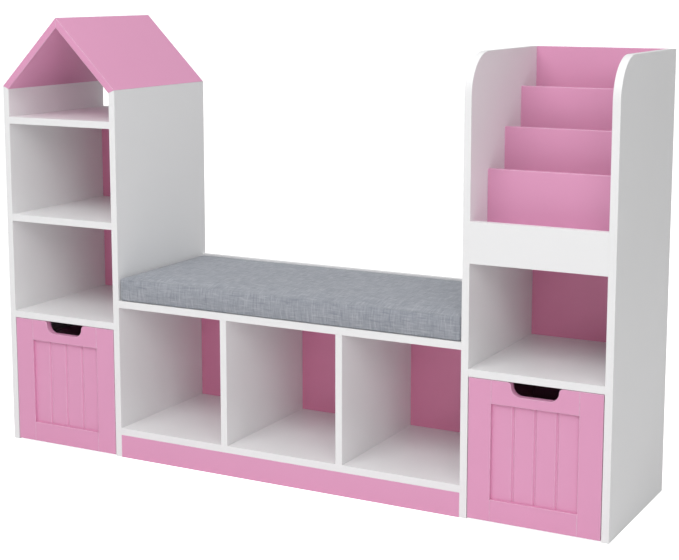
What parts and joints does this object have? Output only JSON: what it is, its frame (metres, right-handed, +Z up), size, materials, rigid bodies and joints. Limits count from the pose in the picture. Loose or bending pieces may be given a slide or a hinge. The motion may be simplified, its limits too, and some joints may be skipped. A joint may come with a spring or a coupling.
{
  "type": "cube storage unit",
  "caption": "Child's bookcase: gabled tower, bench with cushion over open cubes, and a tower with a stepped book rack; pull-out bins at the floor.",
  "frame": {"origin": "on the floor, at the middle of the footprint", "axes": "+X to the right along the width, +Y to the back, +Z up; the open front faces -Y"},
  "size_m": [1.4, 0.34, 0.948],
  "materials": {
    "white_board": "satin",
    "pink_board": "satin",
    "cushion_fabric": "matte",
    "zinc_steel": "satin",
    "beech": "matte",
    "glide_plastic": "matte"
  },
  "bodies": {
    "bookcase": {"anti_tip_bracket": "zinc_steel", "anti_tip_screw": "zinc_steel", "attic_shelf": "white_board", "back_panel_screws": "zinc_steel", "bench_back_panel": "pink_board", "bench_bottom_board": "white_board", "bench_kick_board": "pink_board", "bench_left_divider": "white_board", "bench_rear_plinth": "white_board", "bench_right_divider": "white_board", "bench_seat_board": "white_board", "bookrack_apron": "white_board", "bookrack_floor": "white_board", "bookrack_front_divider": "pink_board", "bookrack_middle_divider": "pink_board", "bookrack_rear_divider": "pink_board", "cam_bolts": "zinc_steel", "cam_locks": "zinc_steel", "confirmat_screws": "zinc_steel", "cushion_back_rail": "white_board", "left_tower_back_panel": "pink_board", "left_tower_inner_side": "white_board", "left_tower_lower_shelf": "white_board", "left_tower_outer_side": "white_board", "left_tower_upper_shelf": "white_board", "right_tower_back_panel": "pink_board", "right_tower_inner_side": "white_board", "right_tower_lower_shelf": "white_board", "right_tower_outer_side": "white_board", "roof_dowels": "beech", "roof_left_panel": "pink_board", "roof_right_panel": "pink_board", "wood_dowels": "beech"},
    "left_bin": {"left_bin_left_stile": "pink_board", "left_bin_right_stile": "pink_board", "left_bin_bottom_rail": "pink_board", "left_bin_top_rail": "pink_board", "left_bin_grooved_panel": "pink_board", "left_bin_base": "pink_board", "left_bin_back": "pink_board", "left_bin_left_side": "pink_board", "left_bin_right_side": "pink_board", "left_bin_dowels": "beech", "left_bin_screws": "zinc_steel", "left_bin_glides": "glide_plastic"},
    "right_bin": {"right_bin_left_stile": "pink_board", "right_bin_right_stile": "pink_board", "right_bin_bottom_rail": "pink_board", "right_bin_top_rail": "pink_board", "right_bin_grooved_panel": "pink_board", "right_bin_base": "pink_board", "right_bin_back": "pink_board", "right_bin_left_side": "pink_board", "right_bin_right_side": "pink_board", "right_bin_dowels": "beech", "right_bin_screws": "zinc_steel", "right_bin_glides": "glide_plastic"},
    "cushion": {"seat_cushion": "cushion_fabric"}
  },
  "joints": [
    {"name": "left_bin_pull", "type": "slide", "parent": "bookcase", "child": "left_bin", "axis": [0, -1, 0], "range_m": [0, 0.32]},
    {"name": "right_bin_pull", "type": "slide", "parent": "bookcase", "child": "right_bin", "axis": [0, -1, 0], "range_m": [0, 0.32]},
    {"name": "cushion_lift", "type": "slide", "parent": "bookcase", "child": "cushion", "axis": [0, 0, 1], "range_m": [0, 0.15]}
  ]
}
